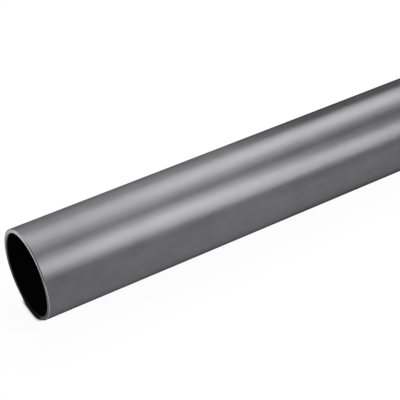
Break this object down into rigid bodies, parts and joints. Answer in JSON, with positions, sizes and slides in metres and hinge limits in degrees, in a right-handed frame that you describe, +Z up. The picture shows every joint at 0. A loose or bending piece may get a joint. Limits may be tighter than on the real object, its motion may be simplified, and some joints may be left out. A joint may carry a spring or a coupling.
{
  "type": "plastic drain pipe",
  "caption": "Straight plain-ended length of grey plastic drain pipe, open right through, with square sawn and deburred ends.",
  "frame": {"origin": "on the ground, below the middle of the pipe", "axes": "+X along the pipe's axis, +Z up; the pipe lies on the ground along its lowest line"},
  "size_m": [2, 0.075, 0.0748],
  "materials": {
    "grey_plastic": "satin, as extruded"
  },
  "bodies": {
    "root": {"drain_pipe": "grey_plastic"}
  },
  "joints": []
}
